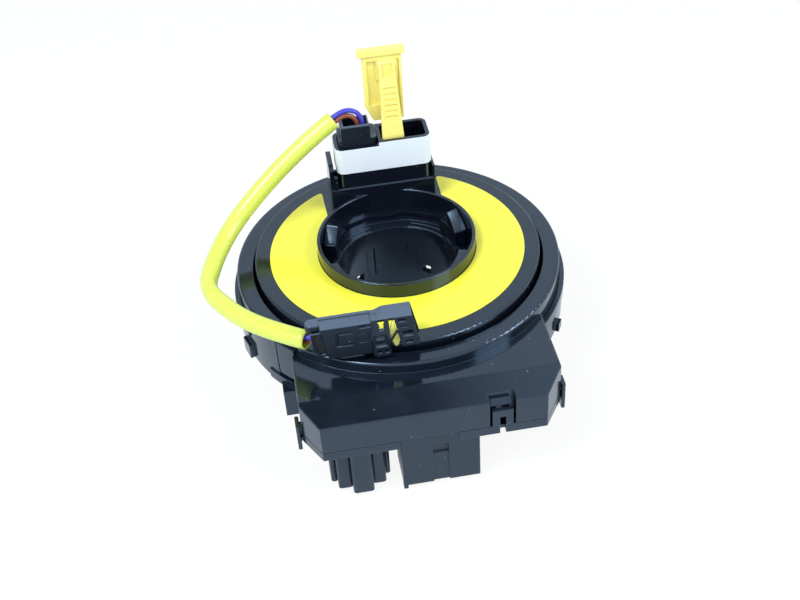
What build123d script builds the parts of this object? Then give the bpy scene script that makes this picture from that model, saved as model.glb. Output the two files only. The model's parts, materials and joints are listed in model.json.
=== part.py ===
from build123d import *
import os
from math import atan2, cos, degrees, hypot, radians, sin, tan

os.makedirs("parts", exist_ok=True)

# Steering clock spring: a fixed stator (drum and terminal box), a rotor that turns with
# the steering wheel, the wound flat cable between them, an airbag lead with its plug and
# the transit lock pin. Millimetres. Z runs up the steering shaft axis, the terminal box
# points to -Y, and z = 0 is the underside of the drum, which sits on the column switch.

# Clearances and common walls
WALL = 1.6             # usual wall of the black mouldings
FIT = 0.1              # between faces that slide or snap together
LATCH_GAP = 0.3        # round a latch in its window
EPS = 0.05             # between parts that rest on each other

# Drum, from the outside in
RING_R = 52.0          # outside of the stator ring
RING_W = 5.3           # width of its flat top
RING_IN_R = RING_R - RING_W
RING_LIP = 1.3
COVER_T = 1.1
COVER_IN_R = RING_R + FIT
COVER_R = COVER_IN_R + COVER_T
COVER_RIM_R = COVER_R + 0.5
CHAMBER_GAP = 4.1      # from the ring's inside to the wall round the wound cable
CHAMBER_R = RING_IN_R - CHAMBER_GAP
CHAMBER_T = 1.2

# Drum heights
Z_RING_TOP = 18.8
RING_WALL_Z = 6.0      # lower edge of the ring's outer wall
LIP_Z = 14.6           # lower edge of its inner lip
RIM_Z0 = 8.1           # rim of the cover's wall
RIM_Z1 = 11.6
CHAMBER_TOP = 16.4
STEP_T = 1.5           # raised centre of the cover's floor
STEP_Z0 = 1.9
STEP_Z1 = STEP_Z0 + STEP_T

# Terminal box
BOX_REACH = 14.1       # how far its front stands out from the drum
BOX_Y = -COVER_R - BOX_REACH
BOX_L = -38.6
BOX_R = 38.9
BOX_FL = BOX_L + 5.0   # ends of the front face
BOX_FR = BOX_R - 6.2
BOX_CH_Y = BOX_Y + 9.1      # where the corner chamfers start
BOX_FOLD_Y = BOX_Y + 10.3   # where the roof's sloping front band starts
BOX_BACK_Y = -8.0      # the box is drawn on into the drum as far as this
BOX_UNDER = 0.3        # the box stays this far above the seat plane
Z_BAND = 3.6           # top of the lower cover's band round the box
Z_BOX_TOP = 15.1       # flat top of the box
FRONT_DROP = 1.8       # fall of the roof's front band
Z_BOX_FRONT = Z_BOX_TOP - FRONT_DROP
CHAMFER_LEAN = 0.62    # inset of a chamfer's ends for 1 mm of wall

# Left corner of the drum, where the cover's wall meets a panel of the housing
BOX_CORNER_A = -degrees(atan2((COVER_R**2 - BOX_L**2) ** 0.5, BOX_L))
JOINT_A = BOX_CORNER_A - 7.0    # angle of the upright joint
JOINT_GAP = 0.5        # its width in degrees
TALL_A = JOINT_A - 17.5         # the cover's wall is tall from here to the joint
TALL_TOP = 17.2
PANEL_Z = 4.8          # lower edge of the housing's panel
FOOT_A = JOINT_A - 5.0          # start of the thicker foot of the low band

# Rotor, from the shaft out
SHAFT_R = 19.0
SLEEVE_T = 2.3
SLEEVE_R = SHAFT_R + SLEEVE_T
SLEEVE_TOP = 15.0
SLEEVE_STEP_Z = -3.8   # below this the bore is wider
SLEEVE_STEP = 0.6
SLEEVE_LOW = -11.5
HUB_IN_R = SLEEVE_R + FIT
HUB_T = 2.2
HUB_R = HUB_IN_R + HUB_T
HUB_Z = 4.0
COLLAR_IN_R = HUB_R + 0.6
COLLAR_T = 1.2
COLLAR_R = COLLAR_IN_R + COLLAR_T
JOURNAL_R = HUB_R + 0.9
JOURNAL_HOLE_R = JOURNAL_R + EPS
FLANGE_W = 5.0
FLANGE_R = JOURNAL_R + FLANGE_W
FLANGE_Z0 = 0.3
FLANGE_Z1 = STEP_Z0 - 0.3
STEP_W = 3.9           # from the flange to the edge of the floor's raised centre
STEP_R = FLANGE_R + STEP_W
HOOK_ANGLES = (22, 151, 202, 331)
HOOK_HALF = 13         # half width of a snap hook, degrees
HOOK_TOP = 21.2
GROOVE_ANGLES = (68, 112)
GROOVE_W = 3.2
GROOVE_D = 0.45
GROOVE_TOP = 8.0
SLIT_ANGLES = (52, 127, 233, 308)
SLIT_W = 3.0

# Rotor heights
DISC_RISE = 2.8        # disc over stator ring
Z_DISC = Z_RING_TOP + DISC_RISE
DISC_T = 1.6
DISC_GAP = 0.9
DISC_R = RING_IN_R - DISC_GAP
SKIRT_T = 1.1
SKIRT_Z = 17.2
COLLAR_H = 5.1
Z_RIM = Z_DISC + COLLAR_H
LEDGE_Z = 14.3         # ledge inside the collar, which the snap hooks hold
LEDGE_T = 1.4
LEDGE_RIB_ANGLES = (3, 177, 228, 270, 312)
LEDGE_RIB_W = 1.0
LEDGE_RIB_H = 0.9

# Label
LABEL_T = 0.2
LABEL_IN_R = COLLAR_R + 0.2
LABEL_R = DISC_R - 4.9
LABEL_GAP_L = -19.8    # label ends beside the tower
LABEL_GAP_R = 19.2

# Tower, on the rotor's +Y side
FOOT_H = 8.5
Z_FOOT = Z_DISC + FOOT_H
T_X0 = -17.7
T_X1 = 17.2
T_Y0 = COLLAR_R - 1.8
T_Y1 = T_Y0 + 12.7
T_WALL = 1.5
WING_TOP = Z_FOOT + 9.1
SHORT_WING_TOP = Z_FOOT + 4.5
C_X0 = T_X0 + 2.9      # tower connector outside
C_X1 = T_X1 - 0.8
C_Y0 = T_Y0 + 0.4
C_Y1 = C_Y0 + 11.4
C_WALL = 1.2
C_R = 2.4
C_FLOOR = Z_FOOT + 1.9
TOWER_H = 16.1
Z_TOWER_RIM = Z_FOOT + TOWER_H
Z_LOW_RIM = Z_TOWER_RIM - 1.3   # lower rim round the lead block
BAY_X = 0.0            # middle of the wall between lead block and socket
TAPE_LOW = 10.4        # how far the tape reaches below the rim
TAPE_T = 0.25

# Column side connectors and terminals
CONN_DEPTH = 16.0
Z_CONN = -CONN_DEPTH
CONN_LENGTH = 12.7     # from the box front to the back of both connectors
CONN_BACK = BOX_Y + CONN_LENGTH
CONN_WALL = 1.4
CONN_GAP = 3.1
NECK_IN = 3.4
NECK_Y = BOX_Y + NECK_IN    # the connectors' necks stand in the floor behind this
NECK_TOP = 4.4
LEFT_W = 18.1
LEFT_X0 = BOX_FL + 1.5
LEFT_X1 = LEFT_X0 + LEFT_W
MID_W = 23.4
MID_X0 = LEFT_X1 + CONN_GAP
MID_X1 = MID_X0 + MID_W
FLUSH_END = 6.4
MID_FLUSH = MID_X1 - FLUSH_END   # the middle one's front is flush with the box up to here
TERM_W = 0.64
TERM_SLOT = TERM_W + 0.04
TERM_TIP = -11.5
BAR_Z = NECK_TOP + 0.2
FINGER_TOP = 11.0

# Cable
CABLE_T = 0.3
CABLE_TURNS = 6
CABLE_END_A = -38      # where the last turn leaves the spiral, degrees
CABLE_ROOM = 1.7       # from the last turn to the chamber wall
CABLE_Z0 = STEP_Z1 + 1.2
CABLE_Z1 = LEDGE_Z - LEDGE_T - FIT
SEAT_HALF = 7.0        # half width of the cable's seat on the hub
TAIL_Y = CONN_BACK + 4.15

# Airbag lead
LEAD_D = 5.8
LEAD_WALL = 0.6
WIRE_D = 1.6
WIRE_SHIFT = (0.52, 0.0, -0.79)   # from the sleeve's middle to the brown wire
LEAD_ROUTE = [
    (-14.4, 27.5, 54.8),
    (-22.9, 24.9, 50.1),
    (-32.3, 22.5, 43.6),
    (-42.1, 18.3, 36.6),
    (-51.3, 12.1, 30.1),
    (-58.3, 0.8, 25.9),
    (-61.3, -11.7, 24.9),
    (-53.8, -25.2, 24.9),
    (-43.8, -35.2, 25.1),
    (-33.3, -42.9, 25.9),
]
FOLD = 6               # route point where the sleeve is folded
FOLD_RADIUS = 6.4
BLOCK_TOP = Z_LOW_RIM + 7.5
POCKET_Z = BLOCK_TOP - 4.0

# Airbag plug, standing on its long edge over the disc
P_Z0 = Z_DISC + 0.3
P_H = 11.6
P_Z1 = P_Z0 + P_H
P_Y1 = -42.0
P_T = 6.2
P_Y0 = P_Y1 - P_T
P_X0 = -29.4
P_LENGTH = 14.6
P_XM = P_X0 + P_LENGTH      # where the head starts
P_LEAN = 1.8           # how far the left end leans in, from top to bottom
HEAD_L = 14.2

# Lock pin
PIN_FOOT = C_FLOOR + LATCH_GAP
PIN_H = 44.3
PIN_TOP = PIN_FOOT + PIN_H
PIN_T = 1.6
PIN_Y0 = C_Y0 + 5.5
PIN_Y1 = PIN_Y0 + PIN_T


def disc(radius, z0, z1):
    """A solid disc about the shaft axis."""
    return Pos(0, 0, (z0 + z1) / 2) * Cylinder(radius, z1 - z0)


def ring(r_in, r_out, z0, z1):
    """A flat ring or tube about the shaft axis."""
    return disc(r_out, z0, z1) - disc(r_in, z0 - 1, z1 + 1)


def block(x0, x1, y0, y1, z0, z1):
    """A box between two corners."""
    return Pos((x0 + x1) / 2, (y0 + y1) / 2, (z0 + z1) / 2) * Box(x1 - x0, y1 - y0, z1 - z0)


def rounded(x0, x1, y0, y1, z0, z1, r):
    """A box with its upright edges rounded."""
    sketch = Pos((x0 + x1) / 2, (y0 + y1) / 2, z0) * RectangleRounded(x1 - x0, y1 - y0, r)
    return extrude(sketch, z1 - z0)


def prism(points, z0, z1):
    """An upright prism on a plan outline."""
    return extrude(Pos(0, 0, z0) * make_face(Polyline(*points, close=True)), z1 - z0)


def side_prism(points, x0, x1):
    """A prism along X on an outline of (y, z) points."""
    face = make_face(Polyline(*[(x0, y, z) for y, z in points], close=True))
    return extrude(face, x1 - x0, dir=(1, 0, 0))


def front_prism(points, y0, y1):
    """A prism along Y on an outline of (x, z) points."""
    face = make_face(Polyline(*[(x, y0, z) for x, z in points], close=True))
    return extrude(face, y1 - y0, dir=(0, 1, 0))


def sector(r, a0, a1, z0, z1):
    """A wedge about the axis, from angle a0 to a1 in degrees, under 180 wide."""
    mid = radians((a0 + a1) / 2)
    far = r / cos(radians((a1 - a0) / 4))
    points = [
        (0, 0),
        (r * cos(radians(a0)), r * sin(radians(a0))),
        (far * cos((radians(a0) + mid) / 2), far * sin((radians(a0) + mid) / 2)),
        (r * cos(mid), r * sin(mid)),
        (far * cos((radians(a1) + mid) / 2), far * sin((radians(a1) + mid) / 2)),
        (r * cos(radians(a1)), r * sin(radians(a1))),
    ]
    return prism(points, z0, z1)


def arc_block(r_in, r_out, a0, a1, z0, z1):
    """A piece of a ring between two angles."""
    return ring(r_in, r_out, z0, z1) & sector(r_out * 1.3, a0, a1, z0, z1)


def one(shape):
    """The single solid of a shape."""
    solids = shape.solids()
    if len(solids) != 1:
        raise ValueError("expected one solid, got " + str(len(solids)))
    return solids[0]


def save(shape, name):
    print(name, "solids", len(shape.solids()), "volume", round(shape.volume, 1))
    export_step(shape, "parts/" + name + ".step")


def box_plan(inset):
    """Plan outline of the terminal box, drawn in by inset."""
    lean = inset * CHAMFER_LEAN
    return [
        (BOX_L + inset, BOX_BACK_Y),
        (BOX_L + inset, BOX_CH_Y + lean),
        (BOX_FL + lean, BOX_Y + inset),
        (BOX_FR - lean, BOX_Y + inset),
        (BOX_R - inset, BOX_CH_Y + lean),
        (BOX_R - inset, BOX_BACK_Y),
    ]


def slope_cut(drop):
    """What lies above the box's sloping front band, lowered by drop."""
    slope = FRONT_DROP / (BOX_FOLD_Y - BOX_Y)
    return side_prism(
        [
            (BOX_FOLD_Y, Z_BOX_TOP - drop),
            (BOX_FOLD_Y, Z_RING_TOP + 5),
            (BOX_Y - 5, Z_RING_TOP + 5),
            (BOX_Y - 5, Z_BOX_FRONT - drop - 5 * slope),
        ],
        BOX_L - 5,
        BOX_R + 5,
    )


def at_height(edges, z):
    """Those of the edges that lie at one height."""
    return edges.filter_by_position(Axis.Z, z - 0.01, z + 0.01)


# Upper housing: stator ring, box roof and walls, one moulding
box_outer = prism(box_plan(0), Z_BAND, Z_BOX_TOP) - slope_cut(0)
box_inner = prism(box_plan(WALL), Z_BAND - 1, Z_BOX_TOP - WALL) - slope_cut(WALL)
roof_edges = box_outer.edges().filter_by_position(Axis.Z, Z_BOX_FRONT - 0.1, Z_BOX_TOP + 0.1)
roof_edges = roof_edges.filter_by(lambda e: e.center().Y < BOX_BACK_Y - 1)
roof_edges = roof_edges.filter_by(lambda e: abs(e.center().Y - BOX_FOLD_Y) > 0.01)
box_outer = fillet(roof_edges, 0.5)
box_shell = box_outer - box_inner - disc(RING_R - WALL / 2, 0, Z_RING_TOP + 5)
profile = make_face(
    Polyline(
        (RING_R, 0, RING_WALL_Z),
        (RING_R, 0, Z_RING_TOP),
        (RING_IN_R, 0, Z_RING_TOP),
        (RING_IN_R, 0, LIP_Z),
        (RING_IN_R + RING_LIP, 0, LIP_Z),
        (RING_IN_R + RING_LIP, 0, Z_RING_TOP - WALL),
        (RING_R - WALL, 0, Z_RING_TOP - WALL),
        (RING_R - WALL, 0, RING_WALL_Z),
        close=True,
    )
)
top_corners = profile.vertices().filter_by(lambda v: v.Z > Z_RING_TOP - 0.01)
profile = fillet(top_corners.sort_by(Axis.X)[-1], 0.8)
top_corners = profile.vertices().filter_by(lambda v: v.Z > Z_RING_TOP - 0.01)
profile = fillet(top_corners.sort_by(Axis.X)[0], 0.3)
upper = revolve(profile, Axis.Z)
# The ring's wall opens into the box below the roof
upper = upper - block(BOX_L + WALL + 1, BOX_R - WALL - 1, BOX_CH_Y, BOX_BACK_Y, 0, Z_BOX_TOP - WALL)
upper = upper + box_shell
# Flush panel that closes the drum between the cover's joint and the box
upper = upper + arc_block(
    RING_R - WALL / 2, COVER_R, JOINT_A + JOINT_GAP, BOX_CORNER_A + 1.2, PANEL_Z, TALL_TOP
)
# Latch notch in the front right of the box, and the two side latch catches
NOTCH_X0 = MID_X1 + CONN_GAP - FIT
NOTCH_W = 7.7
NOTCH_X1 = NOTCH_X0 + NOTCH_W
NOTCH_Y = BOX_Y + 3.4
NOTCH_T = 1.2
upper = upper - block(NOTCH_X0, NOTCH_X1, BOX_Y - 1, NOTCH_Y, 0, Z_RING_TOP)
niche = block(NOTCH_X0 - NOTCH_T, NOTCH_X1 + NOTCH_T, NOTCH_Y, NOTCH_Y + NOTCH_T, Z_BAND, Z_BOX_TOP - 0.6)
niche -= slope_cut(0)
for x in (NOTCH_X0 - NOTCH_T, NOTCH_X1):
    niche += block(x, x + NOTCH_T, BOX_Y + 0.4, NOTCH_Y + NOTCH_T, Z_BAND, Z_BOX_FRONT - 0.8)
NOTCH_CATCH_Z = 9.7
niche += side_prism(
    [(NOTCH_Y + 0.1, NOTCH_CATCH_Z + 1.9), (NOTCH_Y - 1.5, NOTCH_CATCH_Z), (NOTCH_Y + 0.1, NOTCH_CATCH_Z)],
    NOTCH_X0 + 0.6,
    NOTCH_X1 - 0.6,
)
upper = upper + niche
STRAP_Y0 = BOX_CH_Y
STRAP_Y1 = STRAP_Y0 + 4.4
STRAP_RAIL = 0.6
STRAP_OUT = 0.5        # from the box's side to the strap
STRAP_T = 1.2
CATCH_Z0 = 3.8
CATCH_Z1 = 5.2
CATCH_IN = STRAP_RAIL + LATCH_GAP
for side, x in ((-1, BOX_L), (1, BOX_R)):
    reach = (x + side * (STRAP_OUT + 0.4), x - side * WALL / 2)
    upper += block(min(reach), max(reach), STRAP_Y0 + CATCH_IN, STRAP_Y1 - CATCH_IN, CATCH_Z0, CATCH_Z1)
upper_housing = one(upper)
save(upper_housing, "upper_housing")

# Lower cover: floor, band, drum wall, cable chamber wall and the latch hooks
cover = disc(COVER_R, 0, WALL) + prism(box_plan(0), BOX_UNDER, WALL)
band = prism(box_plan(0), BOX_UNDER, Z_BAND - FIT) - prism(box_plan(WALL), -1, Z_BAND + 1)
drum = ring(COVER_IN_R, COVER_R, 0, RIM_Z1)
drum += ring(COVER_R - 0.1, COVER_RIM_R, RIM_Z0, RIM_Z1)
drum += arc_block(COVER_IN_R, COVER_R, TALL_A, JOINT_A, WALL, TALL_TOP)
drum -= arc_block(COVER_R, COVER_R + 5, TALL_A, JOINT_A + 1, RIM_Z0 - 0.1, RIM_Z1 + 0.1)
drum -= sector(COVER_R + 10, JOINT_A, BOX_CORNER_A + 3, Z_BAND - FIT, Z_RING_TOP)
drum += arc_block(COVER_R - 0.1, COVER_RIM_R, FOOT_A, BOX_CORNER_A + 2, 0, Z_BAND - FIT)
drum -= block(BOX_L - FIT, BOX_R + FIT, BOX_CH_Y, BOX_BACK_Y, Z_BAND - FIT, Z_RING_TOP)
drum -= block(BOX_L + WALL, BOX_R - WALL, BOX_CH_Y, BOX_BACK_Y, WALL, Z_RING_TOP)
lip = prism(box_plan(WALL + 0.15), WALL, Z_BAND + 2) - prism(box_plan(2 * WALL), 0, Z_RING_TOP)
lip -= disc(COVER_R + 0.4, 0, Z_RING_TOP)
lip -= block(NOTCH_X0 - 2, NOTCH_X1 + 2, BOX_Y, NOTCH_Y + 2.6, 0, Z_RING_TOP)
cover += (band - disc(COVER_IN_R, WALL, Z_RING_TOP)) + drum + lip
cover -= disc(STEP_R, -1, WALL + 1)
cover += ring(STEP_R - STEP_T + 0.1, STEP_R + 0.2, 0, STEP_Z1)
cover += ring(JOURNAL_HOLE_R, STEP_R - 1, STEP_Z0, STEP_Z1)
cover -= disc(FLANGE_R + 1.2, -1, STEP_Z0)
# Wall round the wound cable, with the gap where its tail leaves for the box
EXIT_A0 = -63
EXIT_A1 = -46
chamber = ring(CHAMBER_R, CHAMBER_R + CHAMBER_T, WALL / 2, CHAMBER_TOP)
chamber -= sector(CHAMBER_R + 2 * CHAMBER_T, EXIT_A0, EXIT_A1, WALL + 0.6, Z_RING_TOP)
cover += chamber
# Front right latch hook, with its slot
HOOK_X0 = NOTCH_X0 + 0.7
HOOK_X1 = NOTCH_X1 - 0.6
HOOK_T = 1.5
SLOT_X0 = HOOK_X0 + 2.3
SLOT_X1 = HOOK_X1 - 2.3
SLOT_TOP = 6.9
FRONT_HOOK_TOP = NOTCH_CATCH_Z - 0.2
hook = rounded(HOOK_X0, HOOK_X1, BOX_Y, BOX_Y + HOOK_T, BOX_UNDER, FRONT_HOOK_TOP, 0.4)
hook += block(HOOK_X0, HOOK_X1, BOX_Y + 0.2, BOX_Y + 2.2, BOX_UNDER, WALL)
cover += hook
cover -= block(SLOT_X0, SLOT_X1, BOX_Y - 1, BOX_Y + HOOK_T + 0.5, -1, SLOT_TOP)
# Side latches of the box, each a strap with a window over the housing's catch
STRAP_LOW = -3.0
STRAP_TOP = 6.6
for side, x in ((-1, BOX_L), (1, BOX_R)):
    near = x + side * STRAP_OUT
    far = near + side * STRAP_T
    x0 = min(near, far)
    x1 = max(near, far)
    strap = rounded(x0, x1, STRAP_Y0, STRAP_Y1, STRAP_LOW, STRAP_TOP, 0.4)
    strap -= block(
        x0 - 1, x1 + 1, STRAP_Y0 + STRAP_RAIL, STRAP_Y1 - STRAP_RAIL, CATCH_Z0 - 0.2, CATCH_Z1 + 0.2
    )
    root = block(min(x - side, far), max(x - side, far), STRAP_Y0 + 0.3, STRAP_Y1, BOX_UNDER, WALL)
    cover += strap + root
# Snap legs that hold the unit on the column, an angle in plan with an inner barb
LEG_OUT = 4.0          # outside of a leg from the box's side
LEG_T = 1.4
LEG_Y0 = BOX_CH_Y + 20.2
LEG_Y1 = LEG_Y0 + 6.0
LEG_LOW = -8.5
for side, x in ((-1, BOX_L), (1, BOX_R)):
    out = x + side * LEG_OUT
    inner = x + side * 0.2
    plate = (out, out - side * LEG_T)
    root = (out, x - side * WALL)
    cover += block(min(root), max(root), LEG_Y0, LEG_Y1, BOX_UNDER, WALL)
    cover += block(min(plate), max(plate), LEG_Y0, LEG_Y1, LEG_LOW, WALL)
    cover += block(min(out, inner), max(out, inner), LEG_Y0, LEG_Y0 + LEG_T, LEG_LOW, WALL)
    heel = out - side * (LEG_T - 0.1)
    barb = [(heel, LEG_LOW), (heel - side * 1.1, LEG_LOW + 2.6), (heel, LEG_LOW + 2.6)]
    cover += front_prism(barb, LEG_Y0 + 2.4, LEG_Y1)
# Clips on the drum's sides
for angle, half, top in ((-162.8, 2.6, 5.2), (-29.5, 1.5, 3.0)):
    cover += Rot(0, 0, angle) * block(COVER_R - 0.6, COVER_RIM_R + 0.8, -half, half, 0, top)
# Openings for the two connectors
conn_hole = block(LEFT_X0 + 1.1, LEFT_X1 - 1.1, NECK_Y - FIT, CONN_BACK - 1.0, -1, WALL + 1)
conn_hole += block(MID_X0 - FIT, MID_FLUSH + FIT, BOX_Y - 1, BOX_Y + 3, -1, Z_BAND + 4.4)
conn_hole += block(MID_X0 + 1.0, MID_X1 - 1.0, NECK_Y - FIT, CONN_BACK - 1.0, -1, WALL + 1)
lower_cover = one(cover - conn_hole)
save(lower_cover, "lower_cover")


# Column side connectors, open downwards
def pin_row(count, x0, pitch):
    """X positions of a row of pins."""
    return [x0 + pitch * i for i in range(count)]


def pin_holes(pins, z0, z1):
    """The square holes for upright pins."""
    h = TERM_SLOT / 2
    holes = [block(x - h, x + h, y - h, y + h, z0, z1) for x, y in pins]
    return holes[0].fuse(*holes[1:])


LEFT_PIN_Y = CONN_BACK - 3.7
MID_PIN_Y = CONN_BACK - 4.4
MID_PIN_DY = 4.0
LEFT_PITCH = 1.8
MID_PITCH = 2.54
LEFT_PINS = [(x, LEFT_PIN_Y) for x in pin_row(7, LEFT_X0 + 3.7, LEFT_PITCH)]
MID_PINS = [(x, MID_PIN_Y) for x in pin_row(6, MID_X0 + 4.0, MID_PITCH)]
MID_PINS += [(x + MID_PITCH / 2, MID_PIN_Y - MID_PIN_DY) for x in pin_row(6, MID_X0 + 4.0, MID_PITCH)]

# Left connector: a ribbed shroud, each rib (from, to, distance in front of the shroud)
LEFT_RIBS = ((0, 2.1, 0.2), (1.9, 6.3, 3.4), (6.1, 12.4, 6.2), (12.2, 16.4, 3.4), (16.2, 18.1, 0.2))
LEFT_Y = BOX_Y + 6.3
left = rounded(LEFT_X0, LEFT_X1, LEFT_Y, CONN_BACK, Z_CONN, BOX_UNDER, 1.0)
for x0, x1, out in LEFT_RIBS:
    left += rounded(LEFT_X0 + x0, LEFT_X0 + x1, LEFT_Y - out, LEFT_Y + 4, Z_CONN, BOX_UNDER, 0.95)
left -= block(
    LEFT_X0 + CONN_WALL, LEFT_X1 - CONN_WALL, LEFT_Y + 0.2, CONN_BACK - CONN_WALL, Z_CONN - 1, BOX_UNDER - 2
)
left -= block(LEFT_X0 + 7.5, LEFT_X0 + 11.0, LEFT_Y - 4.8, LEFT_Y + 1, Z_CONN - 1, BOX_UNDER - 2)
left += block(LEFT_X0 + 1.2, LEFT_X1 - 1.2, NECK_Y, CONN_BACK - 1.1, BOX_UNDER - 0.5, NECK_TOP)
connector_left = one(left - pin_holes(LEFT_PINS, -3, NECK_TOP + 1))
save(connector_left, "connector_left")

# Middle connector: a smooth shroud, its front flush with the box, with a latch window
CHAN_X0 = MID_X0 + 9.2
CHAN_X1 = CHAN_X0 + 4.8
mid = rounded(MID_X0, MID_X1, BOX_Y, CONN_BACK, Z_CONN, BOX_UNDER, 0.5)
mid += block(MID_X0, MID_FLUSH, BOX_Y, BOX_Y + 2.6, BOX_UNDER - 0.5, Z_BAND - EPS)
mid += block(MID_X0, MID_X0 + 1.3, BOX_Y, BOX_Y + 2.2, Z_CONN - 1.4, BOX_UNDER - 1)
mid -= block(
    MID_X0 + CONN_WALL,
    MID_X1 - CONN_WALL,
    BOX_Y + CONN_WALL,
    CONN_BACK - CONN_WALL,
    Z_CONN - 1,
    BOX_UNDER - 2.9,
)
mid += block(MID_X0 + 1.1, MID_X1 - 1.1, NECK_Y, CONN_BACK - 1.1, BOX_UNDER - 0.5, NECK_TOP)
mid -= block(CHAN_X0, CHAN_X1, BOX_Y - 1, BOX_Y + 0.5, Z_CONN - 1, -0.2)
mid -= block(CHAN_X0 + 0.2, CHAN_X1, BOX_Y - 1, BOX_Y + 1.0, -4.2, -0.9)
connector_middle = one(mid - pin_holes(MID_PINS, -4, NECK_TOP + 1))
save(connector_middle, "connector_middle")


def terminal(x, y):
    """A column side pin with its bar along the box and its weld finger."""
    h = TERM_W / 2
    finger_y = TAIL_Y - CABLE_T / 2 - 0.2
    pin = block(x - h, x + h, y - h, y + h, TERM_TIP, BAR_Z + TERM_W)
    pin = chamfer(at_height(pin.edges(), TERM_TIP), 0.15)
    bar = block(x - h, x + h, y, finger_y, BAR_Z, BAR_Z + TERM_W)
    finger = block(x - h, x + h, finger_y - TERM_W, finger_y, BAR_Z, FINGER_TOP)
    return one(pin + bar + finger)


terminals_left = Compound(children=[terminal(x, y) for x, y in LEFT_PINS])
save(terminals_left, "terminals_left")
terminals_middle = Compound(children=[terminal(x, y) for x, y in MID_PINS])
save(terminals_middle, "terminals_middle")

# Comb that backs the cable's tail against the weld fingers
COMB_X0 = LEFT_X0 + 1.1
COMB_X1 = MID_X1 - 4.9
comb = block(COMB_X0, COMB_X1, TAIL_Y + CABLE_T / 2 + FIT, TAIL_Y + 1.8, WALL + EPS, CABLE_Z1 + FIT)
comb += block(COMB_X0, COMB_X1, TAIL_Y + 1.0, TAIL_Y + 3.4, WALL + EPS, 2 * WALL)
tail_comb = one(comb)
save(tail_comb, "tail_comb")

# Flat cable, wound in the drum between hub and box
CABLE_STEP = 10        # degrees between the points of the spiral
CABLE_SEAT_Y = COLLAR_R + FIT
START_R = hypot(SEAT_HALF, CABLE_SEAT_Y)
START_ANGLE = degrees(atan2(CABLE_SEAT_Y, SEAT_HALF))
END_ANGLE = CABLE_END_A - 360 * CABLE_TURNS
CABLE_PITCH = (CHAMBER_R - CABLE_ROOM - START_R) * 360 / (START_ANGLE - END_ANGLE)
spiral = [(-SEAT_HALF, CABLE_SEAT_Y), (SEAT_HALF, CABLE_SEAT_Y)]
angle = START_ANGLE - CABLE_STEP
while angle > END_ANGLE:
    r = START_R + CABLE_PITCH * (START_ANGLE - angle) / 360
    spiral.append((r * cos(radians(angle)), r * sin(radians(angle))))
    angle -= CABLE_STEP
# Out through the gap in the chamber wall and along the comb
for out, a in ((-1.45, -39.2), (-0.3, -51.2), (2.6, -62.3)):
    spiral.append(((CHAMBER_R + out) * cos(radians(a)), (CHAMBER_R + out) * sin(radians(a))))
spiral += [(COMB_X1 + 8.9, TAIL_Y + 4.75), (COMB_X1 + 5.9, TAIL_Y + 1.65), (COMB_X1 + 3.0, TAIL_Y + 0.25)]
spiral += [(COMB_X1 + 0.4, TAIL_Y), (COMB_X0 + 1.0, TAIL_Y)]


def strip_outline(points, thickness):
    """Closed outline of a thin strip that follows the points."""
    side_a = []
    side_b = []
    last = len(points) - 1
    for i in range(len(points)):
        a = points[max(i - 1, 0)]
        b = points[min(i + 1, last)]
        length = hypot(b[0] - a[0], b[1] - a[1])
        nx = (a[1] - b[1]) / length * thickness / 2
        ny = (b[0] - a[0]) / length * thickness / 2
        side_a.append((points[i][0] + nx, points[i][1] + ny))
        side_b.append((points[i][0] - nx, points[i][1] - ny))
    return side_a + side_b[::-1]


flat_cable = one(prism(strip_outline(spiral, CABLE_T), CABLE_Z0, CABLE_Z1))
save(flat_cable, "flat_cable")

slip_sheet = one(ring(JOURNAL_HOLE_R + 0.65, CHAMBER_R - 0.4, STEP_Z1 + EPS, STEP_Z1 + EPS + 0.3))
save(slip_sheet, "slip_sheet")

# Upper rotor: disc, collar, hub and the foot of the tower, one moulding
rotor = ring(COLLAR_IN_R, DISC_R, Z_DISC - DISC_T, Z_DISC)
disc_edge = at_height(rotor.edges(), Z_DISC).filter_by(GeomType.CIRCLE)
rotor = fillet(disc_edge.filter_by(lambda e: e.radius > DISC_R - 0.1), 0.6)
rotor += ring(DISC_R - SKIRT_T, DISC_R, SKIRT_Z, Z_DISC - DISC_T + 0.1)
collar = ring(COLLAR_IN_R, COLLAR_R, LEDGE_Z - LEDGE_T, Z_RIM)
collar = fillet(at_height(collar.edges(), Z_RIM).filter_by(GeomType.CIRCLE), 0.35)
rotor += collar
rotor += ring(HUB_IN_R, COLLAR_R, LEDGE_Z - LEDGE_T, LEDGE_Z)
rotor += ring(HUB_IN_R, HUB_R, HUB_Z, LEDGE_Z - 0.5)
# Flat seat for the cable's inner end
SEAT_Y = CABLE_SEAT_Y - CABLE_T / 2 - 0.15
rotor += block(-SEAT_HALF, SEAT_HALF, HUB_R - WALL, SEAT_Y, HUB_Z + 1, LEDGE_Z - 0.5)
rotor -= disc(HUB_IN_R, HUB_Z - 1, LEDGE_Z)
# Hollow foot of the tower, cut into the collar's back
foot = block(T_X0, T_X1, T_Y0, T_Y1, Z_DISC - DISC_T, Z_FOOT)
foot = chamfer(at_height(foot.edges(), Z_FOOT), 0.4)
rotor -= block(-12, 12, T_Y0 + 0.2, COLLAR_R + 1.6, Z_DISC, Z_RIM + 1)
rotor += foot
rotor -= block(T_X0 + T_WALL, T_X1 - T_WALL, T_Y0 + T_WALL, T_Y1 - T_WALL, Z_DISC, Z_FOOT + 1)
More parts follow.
